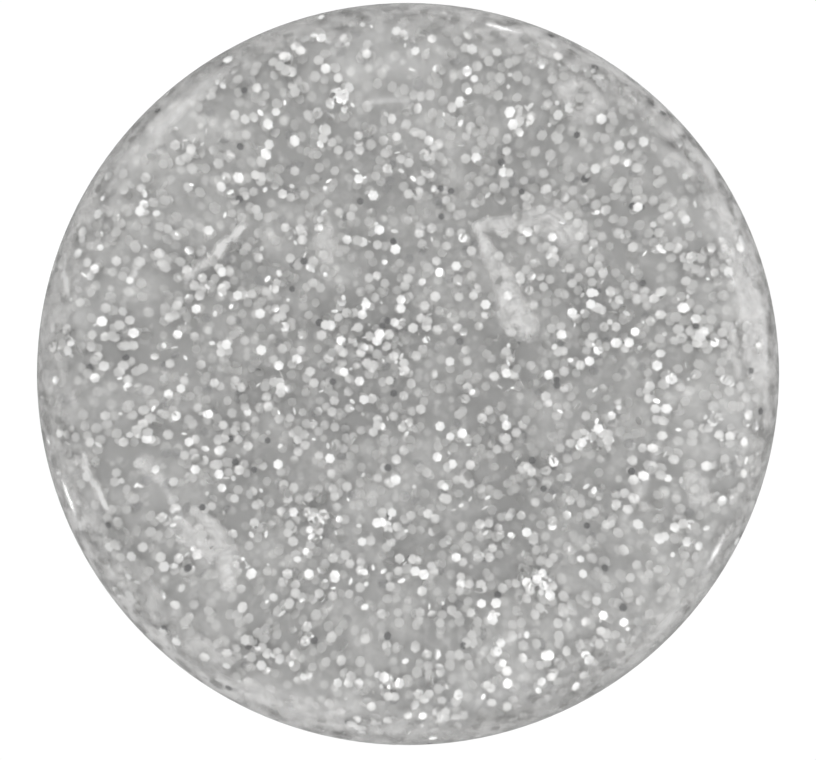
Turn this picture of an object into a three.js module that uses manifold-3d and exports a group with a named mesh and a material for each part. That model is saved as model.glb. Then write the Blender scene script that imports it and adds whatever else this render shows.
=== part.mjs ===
// Round 15 ml nail polish bottle, closed: a clear glass bottle with its fill of glitter polish, a two-shell
// screw cap, and the brush that hangs from the cap into the polish.
// Millimetres, +Z up. The origin is the centre of the flat base, on the surface that the bottle stands on.

import * as THREE from "three";
import { mergeVertices } from "three/addons/utils/BufferGeometryUtils.js";
import Module from "manifold-3d";

const wasm = await Module();
wasm.setup();

const QUARTER = Math.PI / 2;
const HALF = Math.PI;
const TURN = 2 * Math.PI;

// ---------------------------------------------------------------- driving dimensions

// Glass bottle
const BODY_RADIUS = 15;
const WALL = 1.8;
const BASE_THICKNESS = 3;
const HEEL_RADIUS = 5;
const SIDE_TOP = 33.5;
const SHOULDER_TOP = 39;
const GLASS_HEIGHT = 50;

// Screw finish of the neck, 13 mm across its thread
const NECK_RADIUS = 5.65;
const BORE_RADIUS = 3.9;
const THREAD_RADIUS = 6.45;
const PITCH = 25.4 / 12;
const NECK_TURNS = 2; // the cap comes off after as many

// Cap
const CAP_BOTTOM = 39.6;
const CAP_TOP = 78;
const CAP_RADIUS = 9.3;
const CAP_TOP_RADIUS = 8.7;
const CAP_WALL = 1.1;

// Brush
const STEM_TIP = 21;
const BRISTLE_TIP = 5.5;
const BRISTLE_WIDTH = 5;
const BRISTLE_THICKNESS = 2.8;

// Polish
const FILL_LEVEL = 32.5;

// Clearances between neighbouring pieces
const FACE_GAP = 0.05; // between flat faces that press on each other
const FIT_GAP = 0.15; // between round faces that are pushed together
const FREE_GAP = 0.3; // between pieces that move on each other, and round the polish

// Fineness: facets of a full turn, and half the number of facets along an arc of an outline
const FACETS = 40;
const ARC_DIVISIONS = 3;

// ---------------------------------------------------------------- shape helpers

// A surface of revolution about Z from a closed outline in (radius, height).
function turned(outline) {
  const points = outline.getPoints(ARC_DIVISIONS);
  const geometry = new THREE.LatheGeometry(points, FACETS);
  geometry.rotateX(QUARTER);
  return geometry;
}

// A manifold-3d solid from a closed three.js geometry, with its faces pointing out.
function solid(geometry) {
  const bare = geometry.clone();
  bare.deleteAttribute("normal");
  bare.deleteAttribute("uv");
  const merged = mergeVertices(bare, 1e-4);
  const triVerts = new Uint32Array(merged.index.array);
  const vertProperties = merged.attributes.position.array;
  const made = new wasm.Manifold(new wasm.Mesh({ numProp: 3, vertProperties, triVerts }));
  if (made.volume() > 0) return made;
  for (let i = 0; i < triVerts.length; i += 3) {
    [triVerts[i + 1], triVerts[i + 2]] = [triVerts[i + 2], triVerts[i + 1]];
  }
  return new wasm.Manifold(new wasm.Mesh({ numProp: 3, vertProperties, triVerts }));
}

// A three.js geometry from a manifold-3d solid.
function geometryOf(made) {
  const { numVert, numProp, vertProperties, triVerts } = made.getMesh();
  const positions = new Float32Array(numVert * 3);
  for (let i = 0; i < numVert; i++) {
    positions.set(vertProperties.subarray(i * numProp, i * numProp + 3), i * 3);
  }
  const geometry = new THREE.BufferGeometry();
  geometry.setAttribute("position", new THREE.BufferAttribute(positions, 3));
  geometry.setIndex(new THREE.BufferAttribute(triVerts, 1));
  return geometry;
}

// One ridge of screw thread: a straight bar of trapezoid section, rolled up into a right-handed helix.
// It starts at startHeight on the +X side, and its ends taper away into the wall that it stands on.
function threadRidge({ wallRadius, crestRadius, startHeight, turns, rootWidth, crestWidth }) {
  const steps = Math.round(turns * 28);
  const taperSteps = 5;
  const section = new THREE.Shape([
    new THREE.Vector2(0, -rootWidth / 2),
    new THREE.Vector2(1, -crestWidth / 2),
    new THREE.Vector2(1, crestWidth / 2),
    new THREE.Vector2(0, rootWidth / 2),
  ]);
  const bar = new THREE.ExtrudeGeometry(section, { depth: steps, steps, bevelEnabled: false });
  const place = bar.getAttribute("position");
  for (let i = 0; i < place.count; i++) {
    const step = place.getZ(i);
    const angle = (step / steps) * turns * TURN;
    const full = Math.min(1, (step + 0.5) / taperSteps, (steps - step + 0.5) / taperSteps);
    const radius = wallRadius + (crestRadius - wallRadius) * place.getX(i) * full;
    const height = startHeight + (angle / TURN) * PITCH + place.getY(i);
    place.setXYZ(i, radius * Math.cos(angle), radius * Math.sin(angle), height);
  }
  return bar;
}

// A radial plate from innerRadius to outerRadius at an angle about Z.
function radialPlate({ innerRadius, outerRadius, bottom, top, thickness, angle }) {
  const plate = new THREE.BoxGeometry(outerRadius - innerRadius, thickness, top - bottom);
  plate.translate((innerRadius + outerRadius) / 2, 0, (bottom + top) / 2);
  plate.rotateZ(angle);
  return plate;
}

// Joins a body with several plates or ridges that stand on it.
function joined(body, additions) {
  return geometryOf(additions.reduce((sum, geometry) => sum.add(solid(geometry)), solid(body)));
}

// Angles of count plates spaced evenly round the axis, the first one at offset.
function evenly(count, offset = 0) {
  return Array.from({ length: count }, (_, i) => offset + (i * TURN) / count);
}

const group = new THREE.Group();

function addPart(name, geometry, { color, roughness, metalness = 0, opacity = 1 }) {
  const transparent = opacity < 1;
  const material = new THREE.MeshStandardMaterial({ color, roughness, metalness, opacity, transparent });
  const mesh = new THREE.Mesh(geometry, material);
  mesh.name = name;
  group.add(mesh);
}

// ---------------------------------------------------------------- glass bottle

const innerRadius = BODY_RADIUS - WALL;
const innerHeelRadius = 2.5;
const shoulderReach = 7; // how far in the outer shoulder curves before it turns flat
const innerShoulderReach = 7.8;
const innerShoulderRise = 4.2;
const innerSideTop = SIDE_TOP - 0.5;
const neckFillet = 0.8;
const throatRadius = 1.5;
const lipRadius = 0.4;
const beadHeight = 41.6;
const beadRadius = 0.75;

function glassOutline() {
  const outline = new THREE.Path();
  outline.moveTo(0, 0);
  outline.lineTo(BODY_RADIUS - HEEL_RADIUS, 0);
  outline.absarc(BODY_RADIUS - HEEL_RADIUS, HEEL_RADIUS, HEEL_RADIUS, -QUARTER, 0, false);
  outline.lineTo(BODY_RADIUS, SIDE_TOP);
  const shoulderCentre = BODY_RADIUS - shoulderReach;
  const shoulderRise = SHOULDER_TOP - SIDE_TOP;
  outline.absellipse(shoulderCentre, SIDE_TOP, shoulderReach, shoulderRise, 0, QUARTER, false, 0);
  outline.lineTo(NECK_RADIUS + neckFillet, SHOULDER_TOP);
  outline.absarc(NECK_RADIUS + neckFillet, SHOULDER_TOP + neckFillet, neckFillet, -QUARTER, -HALF, true);
  outline.lineTo(NECK_RADIUS, beadHeight - beadRadius);
  outline.absarc(NECK_RADIUS, beadHeight, beadRadius, -QUARTER, QUARTER, false);
  outline.lineTo(NECK_RADIUS, GLASS_HEIGHT - lipRadius);
  outline.absarc(NECK_RADIUS - lipRadius, GLASS_HEIGHT - lipRadius, lipRadius, 0, QUARTER, false);
  outline.lineTo(BORE_RADIUS + lipRadius, GLASS_HEIGHT);
  outline.absarc(BORE_RADIUS + lipRadius, GLASS_HEIGHT - lipRadius, lipRadius, QUARTER, HALF, false);
  const throatHeight = innerSideTop + innerShoulderRise + throatRadius;
  outline.lineTo(BORE_RADIUS, throatHeight);
  outline.absarc(BORE_RADIUS + throatRadius, throatHeight, throatRadius, HALF, HALF + QUARTER, false);
  const ceilingCentre = innerRadius - innerShoulderReach;
  outline.absellipse(ceilingCentre, innerSideTop, innerShoulderReach, innerShoulderRise, QUARTER, 0, true, 0);
  outline.lineTo(innerRadius, BASE_THICKNESS + innerHeelRadius);
  const heelCentre = innerRadius - innerHeelRadius;
  outline.absarc(heelCentre, BASE_THICKNESS + innerHeelRadius, innerHeelRadius, 0, -QUARTER, true);
  outline.lineTo(0, BASE_THICKNESS);
  return outline;
}

const neckThread = {
  wallRadius: NECK_RADIUS - 0.3,
  crestRadius: THREAD_RADIUS,
  startHeight: 43.6,
  turns: NECK_TURNS,
  rootWidth: 1.25,
  crestWidth: 0.5,
};

addPart("glass_bottle", joined(turned(glassOutline()), [threadRidge(neckThread)]), {
  color: "#dfe6e6",
  roughness: 0.05,
  opacity: 0.35,
});

// ---------------------------------------------------------------- polish

// The fill follows the inside of the glass. The well round the brush holds it at rest.
const wellRadius = 3.1;
const wellFloor = BRISTLE_TIP - 0.5;

function polishOutline() {
  const radius = innerRadius - FREE_GAP;
  const floor = BASE_THICKNESS + FREE_GAP;
  const heel = innerHeelRadius - FREE_GAP;
  const outline = new THREE.Path();
  outline.moveTo(0, floor);
  outline.lineTo(radius - heel, floor);
  outline.absarc(radius - heel, floor + heel, heel, -QUARTER, 0, false);
  outline.lineTo(radius, FILL_LEVEL);
  outline.lineTo(wellRadius, FILL_LEVEL);
  outline.lineTo(wellRadius, wellFloor);
  outline.lineTo(0, wellFloor);
  return outline;
}

addPart("polish", turned(polishOutline()), { color: "#a9a8a6", roughness: 0.25, metalness: 0.3 });

// ---------------------------------------------------------------- sealing gasket

const gasketThickness = 0.8;
const gasketBottom = GLASS_HEIGHT + FACE_GAP;
const gasketTop = gasketBottom + gasketThickness;
const stemTopRadius = 2.15;

function ring(inner, outer, bottom, top) {
  const outline = new THREE.Path();
  outline.moveTo(inner, bottom);
  outline.lineTo(outer, bottom);
  outline.lineTo(outer, top);
  outline.lineTo(inner, top);
  outline.lineTo(inner, bottom);
  return outline;
}

addPart("sealing_gasket", turned(ring(stemTopRadius + FIT_GAP, 5.4, gasketBottom, gasketTop)), {
  color: "#f2f1ec",
  roughness: 0.6,
});

// ---------------------------------------------------------------- brush stem

// A flange rests on the gasket. Above it, a plug snaps into the inner cap by a round bead, and can swivel.
// Below it, a smaller bead picks up the gasket once the cap has been unscrewed and is pulled away.
const flangeBottom = gasketTop + FACE_GAP;
const flangeTop = flangeBottom + 1;
const plugRadius = 2.1;
const plugBeadHeight = 56.8;
const plugBeadRadius = 0.55;
const plugTop = 58.2;
const stemTipRadius = 1.85;
const pickUpBeadRadius = 0.45;
const pickUpBeadHeight = gasketBottom - NECK_TURNS * PITCH - 0.1 - pickUpBeadRadius;
const tuftHoleRadius = 1.4;
const tuftHoleDepth = 4.6;

function stemOutline() {
  const outline = new THREE.Path();
  outline.moveTo(0, STEM_TIP + tuftHoleDepth);
  outline.lineTo(tuftHoleRadius, STEM_TIP + tuftHoleDepth);
  outline.lineTo(tuftHoleRadius, STEM_TIP);
  outline.lineTo(stemTipRadius - 0.15, STEM_TIP);
  outline.lineTo(stemTipRadius, STEM_TIP + 0.3);
  outline.lineTo(stemTopRadius, pickUpBeadHeight - pickUpBeadRadius);
  outline.absarc(stemTopRadius, pickUpBeadHeight, pickUpBeadRadius, -QUARTER, QUARTER, false);
  outline.lineTo(stemTopRadius, flangeBottom);
  outline.lineTo(5.3, flangeBottom);
  outline.lineTo(5.3, flangeTop);
  outline.lineTo(plugRadius, flangeTop);
  outline.lineTo(plugRadius, plugBeadHeight - plugBeadRadius);
  outline.absarc(plugRadius, plugBeadHeight, plugBeadRadius, -QUARTER, QUARTER, false);
  outline.lineTo(plugRadius - 0.5, plugTop);
  outline.lineTo(0, plugTop);
  return outline;
}

addPart("brush_stem", turned(stemOutline()), { color: "#17171a", roughness: 0.35 });

// A flat metal anchor pressed across the tuft hole. The bristles are folded over it.
const anchor = new THREE.BoxGeometry(2.4, 0.35, 1.6);
anchor.translate(0, 0, STEM_TIP + 3.4);
addPart("bristle_anchor", anchor, { color: "#c4c6c9", roughness: 0.3, metalness: 1 });

// ---------------------------------------------------------------- bristles

// A flat tuft: its round root turns in the mouth of the tuft hole, and its rounded tip is cut like a fan.
function bristleTuft() {
  const halfWidth = BRISTLE_WIDTH / 2;
  const rootRadius = 1.1;
  const fullHeight = BRISTLE_TIP + 3;
  const outline = new THREE.Path();
  outline.moveTo(0, BRISTLE_TIP);
  outline.absellipse(0, fullHeight, halfWidth, fullHeight - BRISTLE_TIP, -QUARTER, 0, false, 0);
  outline.lineTo(rootRadius, STEM_TIP);
  outline.absarc(0, STEM_TIP, rootRadius, 0, QUARTER, false);
  const tuft = turned(outline);
  const place = tuft.getAttribute("position");
  for (let i = 0; i < place.count; i++) {
    const flattening = THREE.MathUtils.smoothstep(STEM_TIP - place.getZ(i), 0, STEM_TIP - fullHeight);
    place.setY(i, place.getY(i) * THREE.MathUtils.lerp(1, BRISTLE_THICKNESS / BRISTLE_WIDTH, flattening));
  }
  return tuft;
}

addPart("bristle_tuft", bristleTuft(), { color: "#2a2a2d", roughness: 0.5 });

// ---------------------------------------------------------------- inner cap

const innerCapBottom = 40.3;
const innerCapRadius = 7.5;
const capBoreRadius = THREAD_RADIUS + FREE_GAP;
const roofBottom = flangeTop + FACE_GAP;
const roofTop = roofBottom + 1.4;
const socketRadius = plugRadius + FREE_GAP;
const socketWall = 1.3;
const socketTop = 59;

function innerCapOutline() {
  const outline = new THREE.Path();
  outline.moveTo(capBoreRadius, innerCapBottom);
  outline.lineTo(innerCapRadius, innerCapBottom);
  outline.lineTo(innerCapRadius, roofTop);
  outline.lineTo(socketRadius + socketWall, roofTop);
  outline.lineTo(socketRadius + socketWall, socketTop);
  outline.lineTo(socketRadius, socketTop);
  outline.lineTo(socketRadius, plugBeadHeight + plugBeadRadius);
  outline.absarc(socketRadius, plugBeadHeight, plugBeadRadius, QUARTER, -QUARTER, true);
  outline.lineTo(socketRadius, roofBottom);
  outline.lineTo(capBoreRadius, roofBottom);
  outline.lineTo(capBoreRadius, innerCapBottom);
  return outline;
}

// The cap's thread runs midway between the turns of the neck's thread.
const capThread = {
  wallRadius: capBoreRadius + 0.3,
  crestRadius: NECK_RADIUS + FREE_GAP,
  startHeight: neckThread.startHeight + PITCH / 2,
  turns: 1.25,
  rootWidth: 1.15,
  crestWidth: 0.45,
};

const splineCount = 12;
const splines = evenly(splineCount).map((angle) =>
  radialPlate({
    innerRadius: innerCapRadius - 0.2,
    outerRadius: innerCapRadius + 0.35,
    bottom: innerCapBottom + 0.4,
    top: roofTop - 0.3,
    thickness: 1,
    angle,
  }),
);

addPart("inner_cap", joined(turned(innerCapOutline()), [threadRidge(capThread), ...splines]), {
  color: "#1b1b1e",
  roughness: 0.5,
});

// ---------------------------------------------------------------- overcap, ring and top disc

const ringHeight = 2.6;
const ringThickness = 0.45;
const ringSeatRadius = CAP_RADIUS - ringThickness - FIT_GAP;
const discRadius = 7;
const discThickness = 0.9;
const roofThickness = 1.9;
const rimRadius = 0.5;

// The outside tapers from CAP_RADIUS at the bottom to CAP_TOP_RADIUS at the top.
function capRadiusAt(height) {
  return THREE.MathUtils.mapLinear(height, CAP_BOTTOM, CAP_TOP, CAP_RADIUS, CAP_TOP_RADIUS);
}

function overcapOutline() {
  const seatTop = CAP_BOTTOM + ringHeight + FACE_GAP;
  const seatFloor = CAP_TOP - discThickness - FACE_GAP;
  const ceiling = CAP_TOP - discThickness - roofThickness;
  const outline = new THREE.Path();
  outline.moveTo(CAP_RADIUS - CAP_WALL, CAP_BOTTOM);
  outline.lineTo(ringSeatRadius, CAP_BOTTOM);
  outline.lineTo(ringSeatRadius, seatTop);
  outline.lineTo(capRadiusAt(seatTop), seatTop);
  outline.lineTo(capRadiusAt(CAP_TOP - rimRadius), CAP_TOP - rimRadius);
  outline.absarc(CAP_TOP_RADIUS - rimRadius, CAP_TOP - rimRadius, rimRadius, 0, QUARTER, false);
  outline.lineTo(discRadius + FIT_GAP, CAP_TOP);
  outline.lineTo(discRadius + FIT_GAP, seatFloor);
  outline.lineTo(0, seatFloor);
  outline.lineTo(0, ceiling);
  outline.lineTo(capRadiusAt(ceiling) - CAP_WALL, ceiling);
  outline.lineTo(CAP_RADIUS - CAP_WALL, CAP_BOTTOM);
  return outline;
}

// Fins inside the overcap press on the roof of the inner cap, and keys run between its splines.
const fins = evenly(6, TURN / 24).map((angle) =>
  radialPlate({
    innerRadius: socketRadius + socketWall + FREE_GAP,
    outerRadius: capRadiusAt(CAP_TOP) - CAP_WALL / 2,
    bottom: roofTop + FACE_GAP,
    top: CAP_TOP - discThickness - roofThickness + 0.4,
    thickness: 0.9,
    angle,
  }),
);
const keys = evenly(6, TURN / 24).map((angle) =>
  radialPlate({
    innerRadius: innerCapRadius + FIT_GAP,
    outerRadius: CAP_RADIUS - CAP_WALL / 2,
    bottom: innerCapBottom + 1,
    top: roofTop + 1,
    thickness: 1,
    angle,
  }),
);

addPart("overcap", joined(turned(overcapOutline()), [...fins, ...keys]), {
  color: "#0d0d0f",
  roughness: 0.18,
});

const trimRing = turned(ring(CAP_RADIUS - ringThickness, CAP_RADIUS, CAP_BOTTOM, CAP_BOTTOM + ringHeight));
addPart("trim_ring", trimRing, {
  color: "#c9cacc",
  roughness: 0.18,
  metalness: 1,
});

const topDisc = new THREE.CylinderGeometry(discRadius, discRadius, discThickness, FACETS);
topDisc.rotateX(QUARTER);
topDisc.translate(0, 0, CAP_TOP - discThickness / 2);
addPart("top_disc", topDisc, { color: "#c9cacc", roughness: 0.22, metalness: 1 });

export default group;
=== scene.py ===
import math
import random
from collections import namedtuple

import bmesh
import bpy
import numpy as np
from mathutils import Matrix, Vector, noise


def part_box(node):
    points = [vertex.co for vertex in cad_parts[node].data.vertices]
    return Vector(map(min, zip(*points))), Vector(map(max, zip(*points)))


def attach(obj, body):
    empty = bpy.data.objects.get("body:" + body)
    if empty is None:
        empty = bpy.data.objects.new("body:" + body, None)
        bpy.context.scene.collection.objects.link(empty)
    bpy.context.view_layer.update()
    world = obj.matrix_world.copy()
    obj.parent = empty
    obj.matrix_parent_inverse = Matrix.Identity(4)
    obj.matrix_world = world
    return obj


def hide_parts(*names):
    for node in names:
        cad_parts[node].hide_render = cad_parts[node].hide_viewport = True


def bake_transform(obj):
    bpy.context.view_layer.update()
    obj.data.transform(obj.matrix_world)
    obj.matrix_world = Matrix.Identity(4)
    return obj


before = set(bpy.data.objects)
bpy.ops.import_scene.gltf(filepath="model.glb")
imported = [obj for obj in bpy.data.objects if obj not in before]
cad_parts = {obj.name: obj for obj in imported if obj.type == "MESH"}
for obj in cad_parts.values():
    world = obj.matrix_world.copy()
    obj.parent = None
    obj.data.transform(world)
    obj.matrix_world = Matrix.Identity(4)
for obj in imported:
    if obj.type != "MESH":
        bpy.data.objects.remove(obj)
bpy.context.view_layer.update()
scene = bpy.context.scene

# Lengths below are in millimetres, as in the CAD source, and become metres where a mesh is made.
MM = 0.001
TURN = 2 * math.pi

# ---- dimensions, from the frame


def reach(node):
    """The outer radius, bottom and top of a CAD node, in millimetres."""
    low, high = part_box(node)
    return high.x / MM, low.z / MM, high.z / MM


BODY_RADIUS, _, GLASS_TOP = reach("glass_bottle")
CAP_RADIUS, CAP_BOTTOM, CAP_TOP = reach("overcap")
RING_RADIUS, RING_BOTTOM, RING_TOP = reach("trim_ring")
DISC_RADIUS, DISC_BOTTOM, DISC_TOP = reach("top_disc")
GASKET_RADIUS, GASKET_BOTTOM, GASKET_TOP = reach("sealing_gasket")
FLANGE_RADIUS, STEM_TIP, PLUG_TOP = reach("brush_stem")
SPLINE_RADIUS, INNER_CAP_BOTTOM, SOCKET_TOP = reach("inner_cap")
BRISTLE_HALF_WIDTH, BRISTLE_TIP, _ = reach("bristle_tuft")
FILL_LEVEL = reach("polish")[2]

# The glass, as in the CAD source
WALL = 1.8
FLOOR = 3.0
HEEL_RADIUS = 5.0
HEEL_START = BODY_RADIUS - HEEL_RADIUS
INNER_HEEL_RADIUS = 2.5
INNER_HEEL_TOP = FLOOR + INNER_HEEL_RADIUS
SIDE_TOP = 33.5
SHOULDER_TOP = 39.0
SHOULDER_REACH = 7.0
INNER_SIDE_TOP = SIDE_TOP - 0.5
INNER_SHOULDER_REACH = 7.8
INNER_SHOULDER_RISE = 4.2
NECK_RADIUS = 5.65
NECK_FILLET = 0.8
BEAD_HEIGHT = 41.6
BEAD_RADIUS = 0.75
BORE_RADIUS = 3.9
THROAT_RADIUS = 1.5
LIP_RADIUS = 0.4
INNER_RADIUS = BODY_RADIUS - WALL

# The screw thread
PITCH = 25.4 / 12
THREAD_RADIUS = 6.45
NECK_THREAD_START = 43.6
NECK_THREAD_TURNS = 2
CAP_THREAD_TURNS = 1.25

# How rough the underside of the glass is
BASE_DULLNESS = 0.165

# Glitter: 1/64 inch hexagons
FLAKE_WIDTH = 0.365
FLAKE_THICKNESS = 0.025

# Segments of a full turn, and of a quarter-turn arc
SEGMENTS = 160
ARC_STEPS = 12
# Degrees: an outline that bends more than this at a point has a corner there
SHARP_BEND = 30


# ---- outlines and meshes

def arc(centre, radius, start, end, steps=ARC_STEPS, rise=None):
    """Points on an arc about centre (radius, height). Degrees run from the outward direction towards +Z."""
    points = []
    for i in range(steps + 1):
        angle = math.radians(start + (end - start) * i / steps)
        across, up = radius * math.cos(angle), (rise or radius) * math.sin(angle)
        points.append((centre[0] + across, centre[1] + up))
    return points


def line(start, end, steps):
    """Points from start to end, both included."""
    return [tuple(a + (b - a) * i / steps for a, b in zip(start, end)) for i in range(steps + 1)]


def tidy(outline):
    """The outline without repeated points."""
    kept = [outline[0]]
    for point in outline[1:]:
        if math.dist(point, kept[-1]) > 1e-4:
            kept.append(point)
    return kept


def softened(outline, radius, steps=5):
    """The outline with its sharp corners rounded. Gentle bends, as along an arc, are left alone."""
    outline = tidy(outline)
    closed = math.dist(outline[0], outline[-1]) < 1e-6
    corners = outline[:-1] if closed else outline
    rounded = []
    for i, corner in enumerate(corners):
        here = Vector(corner)
        back = Vector(corners[i - 1]) - here
        ahead = Vector(corners[(i + 1) % len(corners)]) - here
        at_end = not closed and i in (0, len(corners) - 1)
        if at_end or math.degrees((-back).angle(ahead)) < SHARP_BEND:
            rounded.append(corner)
            continue
        cut = min(radius, 0.45 * back.length, 0.45 * ahead.length)
        start, end = here + back.normalized() * cut, here + ahead.normalized() * cut
        for step in range(steps + 1):
            t = step / steps
            rounded.append(tuple(start * (1 - t) ** 2 + here * (2 * t * (1 - t)) + end * t ** 2))
    return rounded + rounded[:1] if closed else rounded


def new_object(name, data):
    made = bpy.data.objects.new(name, data)
    scene.collection.objects.link(made)
    return made


def mesh_object(name, vertices, faces, smooth=True, outwards=True):
    """A mesh object from points in millimetres. With outwards, its faces are turned to face out."""
    mesh = bpy.data.meshes.new(name)
    mesh.from_pydata([tuple(c * MM for c in v) for v in vertices], [], faces)
    if outwards:
        work = bmesh.new()
        work.from_mesh(mesh)
        bmesh.ops.recalc_face_normals(work, faces=work.faces)
        work.to_mesh(mesh)
        work.free()
    if smooth:
        mesh.shade_smooth()
    return new_object(name, mesh)


def polar(radius, angle):
    """The (x, y) at a radius and an angle."""
    return radius * math.cos(angle), radius * math.sin(angle)


def strip(below, above, count, closed=True):
    """The faces between two rows of count points, which start at below and above."""
    ends = range(count if closed else count - 1)
    return [(below + k, above + k, above + (k + 1) % count, below + (k + 1) % count) for k in ends]


def turned(name, outline, shape=None, segments=SEGMENTS):
    """A closed body turned about Z from an outline of (radius, height). The outline starts and ends on the
    axis, or closes on itself. shape(radius, height, angle) may move each ring point to a new radius."""
    outline = tidy(outline)
    on_axis = outline[0][0] == 0
    rings = outline[1:-1] if on_axis else outline[:-1]
    vertices = []
    for radius, height in rings:
        for k in range(segments):
            angle = TURN * k / segments
            out = shape(radius, height, angle) if shape else radius
            vertices.append((*polar(out, angle), height))
    faces = []
    for i in range(len(rings) - 1 if on_axis else len(rings)):
        faces += strip(i * segments, (i + 1) % len(rings) * segments, segments)
    if on_axis:
        for ring, height in ((0, outline[0][1]), (len(rings) - 1, outline[-1][1])):
            pole = len(vertices)
            vertices.append((0, 0, height))
            for k in range(segments):
                faces.append((ring * segments + k, ring * segments + (k + 1) % segments, pole))
    body = mesh_object(name, vertices, faces)
    # Flat faces keep their flat shading next to rounded corners.
    body.modifiers.new("shading", "WEIGHTED_NORMAL").keep_sharp = True
    return body


def break_edges(piece, width):
    edges = piece.modifiers.new("edges", "BEVEL")
    edges.width = width * MM
    edges.segments = 2


def smoothstep(low, high, x):
    t = min(1.0, max(0.0, (x - low) / (high - low)))
    return t * t * (3 - 2 * t)


def ridge_height(height, angle, start, turns, root, crest):
    """How far a helical ridge stands up at a point, from 0 to 1. It is a trapezoid, run out at its ends."""
    highest = 0.0
    for lap in range(math.ceil(turns) + 1):
        along = angle / TURN + lap
        if along > turns:
            break
        off = abs(height - start - along * PITCH)
        run_out = smoothstep(0, 0.12, along) * smoothstep(0, 0.12, turns - along)
        highest = max(highest, smoothstep(root, crest, off) * run_out)
    return highest


# ---- materials

def added(near, kind, *values, **settings):
    """A new shader node, beside a node or socket or in a tree, with its inputs set or linked in order."""
    node = near.id_data.nodes.new("ShaderNode" + kind)
    for name, setting in settings.items():
        setattr(node, name, setting)
    for socket, value in zip(node.inputs, values):
        fill(socket, value)
    return node


def fill(socket, value):
    """Links a socket to another, or sets it to a number, a vector or a colour."""
    if isinstance(value, bpy.types.NodeSocket):
        socket.id_data.links.new(value, socket)
    else:
        socket.default_value = (*value, 1.0) if socket.type == "RGBA" else value


def set_values(node, **values):
    """Sets or links inputs of a node by name, with spaces written as underscores."""
    for key, value in values.items():
        fill(node.inputs[key.replace("_", " ")], value)


def new_material(name):
    """A material, and its Principled shader."""
    material = bpy.data.materials.new(name)
    material.use_nodes = True
    material.node_tree.nodes.clear()
    shader = added(material.node_tree, "BsdfPrincipled")
    added(shader, "OutputMaterial", shader.outputs["BSDF"])
    return material, shader


def object_coordinates(shader):
    return added(shader, "TexCoord").outputs["Object"]


def noise_texture(vector, scale, detail=2.0, roughness=0.5, distortion=0.0):
    node = added(vector, "TexNoise")
    set_values(node, Vector=vector, Scale=scale, Detail=detail, Roughness=roughness, Distortion=distortion)
    return node.outputs["Fac"]


def remap(value, from_low, from_high, to_low, to_high, smooth=False):
    way = "SMOOTHSTEP" if smooth else "LINEAR"
    numbers = (from_low, from_high, to_low, to_high)
    return added(value, "MapRange", value, *numbers, interpolation_type=way).outputs["Result"]


def combine(operation, first, second):
    """A Math node on a socket and another socket or a number."""
    return added(first, "Math", first, second, operation=operation).outputs["Value"]


def vector_math(operation, vector, fixed=(0, 0, 0)):
    """A Vector Math node on a socket and a fixed vector. A length or a dot product is a number."""
    node = added(vector, "VectorMath", vector, fixed, operation=operation)
    return node.outputs["Value" if operation in ("LENGTH", "DOT_PRODUCT") else "Vector"]


def mixed(share, first, second):
    """Two shaders mixed: the first where share is 0, and the second where it is 1."""
    return added(share, "MixShader", share, first, second).outputs["Shader"]


def open_where(share, shader):
    """Makes a material clear where share is 1."""
    opaque = shader.outputs["BSDF"]
    output = opaque.links[0].to_node
    set_values(output, Surface=mixed(share, opaque, added(share, "BsdfTransparent").outputs["BSDF"]))


def bump(shader, height, distance, strength=1.0):
    node = added(shader, "Bump")
    set_values(node, Height=height, Distance=distance, Strength=strength)
    set_values(shader, Normal=node.outputs["Normal"])


def colour_ramp(value, stops):
    """A colour ramp from two (position, colour) stops."""
    node = added(value, "ValToRGB", value)
    for element, (position, colour) in zip(node.color_ramp.elements, stops):
        element.position = position
        element.color = (*colour, 1)
    return node.outputs["Color"]


def pearl_and_painted_light(shader):
    """How dense the pearl is at a point, together with the painted light, as make_polish and the painted
    light layer store them in the mesh.
    """
    return added(shader, "Attribute", attribute_name="pearl_and_painted_light").outputs["Fac"]


# The glass is dull up to the top of its heel, and polished to this roughness from this height up.
POLISHED_HEIGHT = HEEL_RADIUS + 3
POLISHED_ROUGHNESS = 0.04


def clear_glass():
    """Clear glass. Its base, which rubs on every shelf, is a little dulled, and the rest is polished."""
    material, shader = new_material("clear_glass")
    height = added(shader, "SeparateXYZ", object_coordinates(shader)).outputs["Z"]
    low, high = HEEL_RADIUS * MM, POLISHED_HEIGHT * MM
    rough = remap(height, low, high, BASE_DULLNESS, POLISHED_ROUGHNESS, smooth=True)
    set_values(shader, Base_Color=(0.992, 0.992, 0.985), IOR=1.5, Transmission_Weight=1.0, Roughness=rough)
    # Light from the lamps reaches the polish through the glass.
    open_where(added(shader, "LightPath").outputs["Is Shadow Ray"], shader)
    return material


# Layers of flakes deep in the lacquer: (spacing, radius, brightness)
SUNKEN_LAYERS = ((0.46, 0.19, 0.40), (0.55, 0.19, 0.50), (0.66, 0.18, 0.60))
LAYER_SHIFT = (0.37 * MM, 0.19 * MM, 0.23 * MM)
# How much the stored pearl and painted light brighten the lacquer
PEARL_AND_LIGHT_GAIN = 1.7


def sunken_discs(where, layer, cell, radius, weight):
    """Flakes so deep in the lacquer that they are soft discs. Each has its own shade, up to weight."""
    cells = added(where, "TexVoronoi")
    shift = tuple(layer * along for along in LAYER_SHIFT)
    set_values(cells, Vector=vector_math("ADD", where, shift), Scale=1 / (cell * MM))
    edge = radius / cell
    disc = remap(cells.outputs["Distance"], edge * 0.8, edge * 1.2, 1.0, 0.0, smooth=True)
    shade = added(where, "SeparateColor", cells.outputs["Color"]).outputs["Red"]
    return combine("MULTIPLY", disc, remap(shade, 0.2, 1.0, -0.2 * weight, weight))


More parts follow.
